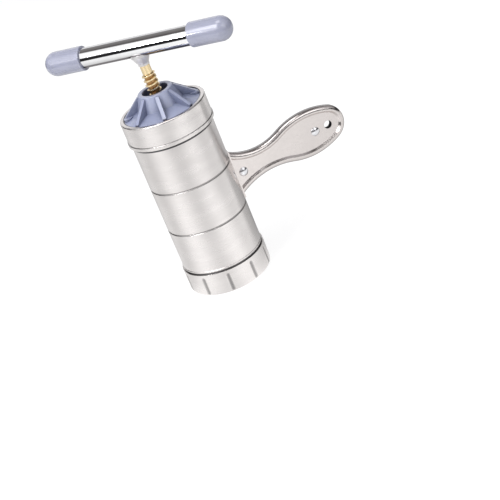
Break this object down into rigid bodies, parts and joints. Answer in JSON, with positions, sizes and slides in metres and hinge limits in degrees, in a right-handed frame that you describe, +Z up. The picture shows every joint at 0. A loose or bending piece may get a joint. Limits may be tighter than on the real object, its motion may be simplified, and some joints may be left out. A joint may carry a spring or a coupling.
{
  "type": "hand-cranked pasta press",
  "caption": "Hand-cranked pasta press: steel barrel between screwed rings, ribbed plastic cover, brass screw with T-bar crank, piston and holed die inside, and a flat steel side handle.",
  "frame": {"origin": "centre of the foot ring's lower face, on the barrel's axis", "axes": "+Z up the barrel towards the crank; +X to the right seen from the front; the side handle points 13 degrees from +X towards +Y"},
  "size_m": [0.2135, 0.0958, 0.2255],
  "materials": {
    "stainless": "satin",
    "stamped_steel": "satin",
    "chrome": "polished",
    "brass": "satin",
    "fastener_steel": "satin",
    "blue_plastic": "satin",
    "cap_plastic": "satin",
    "seal_rubber": "matte"
  },
  "bodies": {
    "barrel": {"barrel_tube": "stainless", "handle_bracket": "stainless", "handle_shell_front": "stamped_steel", "handle_shell_rear": "stamped_steel", "handle_root_rivet": "stamped_steel", "handle_tip_rivet": "stamped_steel"},
    "cover": {"cover": "blue_plastic", "lead_nut": "brass", "nut_screws": "fastener_steel"},
    "head_ring": {"head_ring": "stainless"},
    "piston": {"piston_plate": "blue_plastic", "piston_seal": "seal_rubber", "thrust_washer": "fastener_steel"},
    "crank": {"lead_screw": "brass", "saddle_collar": "chrome", "crank_tube": "chrome", "crank_cross_nut": "fastener_steel", "crank_cap_left": "cap_plastic", "crank_cap_right": "cap_plastic", "piston_screw": "fastener_steel", "end_washer": "fastener_steel"},
    "die": {"die_plate": "stainless"},
    "foot_ring": {"foot_ring": "stainless"}
  },
  "joints": [
    {"name": "cover_lift", "type": "slide", "parent": "barrel", "child": "cover", "axis": [0, 0, 1], "range_m": [0, 0.14]},
    {"name": "head_ring_turn", "type": "hinge", "parent": "cover", "child": "head_ring", "pos_m": [0, 0, 0.15], "axis": [0, 0, 1], "range_deg": [0, 900]},
    {"name": "piston_travel", "type": "slide", "parent": "cover", "child": "piston", "axis": [0, 0, 1], "range_m": [-0.0296, 0.098]},
    {"name": "crank_turn", "type": "hinge", "parent": "piston", "child": "crank", "pos_m": [0, 0, 0.2], "axis": [0, 0, 1], "range_deg": [-2663.9, 8819.9]},
    {"name": "die_drop", "type": "slide", "parent": "barrel", "child": "die", "axis": [0, 0, 1], "range_m": [-0.0075, 0]},
    {"name": "foot_ring_turn", "type": "hinge", "parent": "die", "child": "foot_ring", "pos_m": [0, 0, 0.01], "axis": [0, 0, 1], "range_deg": [-899.9, 0]}
  ],
  "couplings": [
    {"joint": "piston_travel", "follows": "crank_turn", "m_per_rad": 0.00063662},
    {"joint": "die_drop", "follows": "foot_ring_turn", "m_per_rad": 0.00047746}
  ]
}
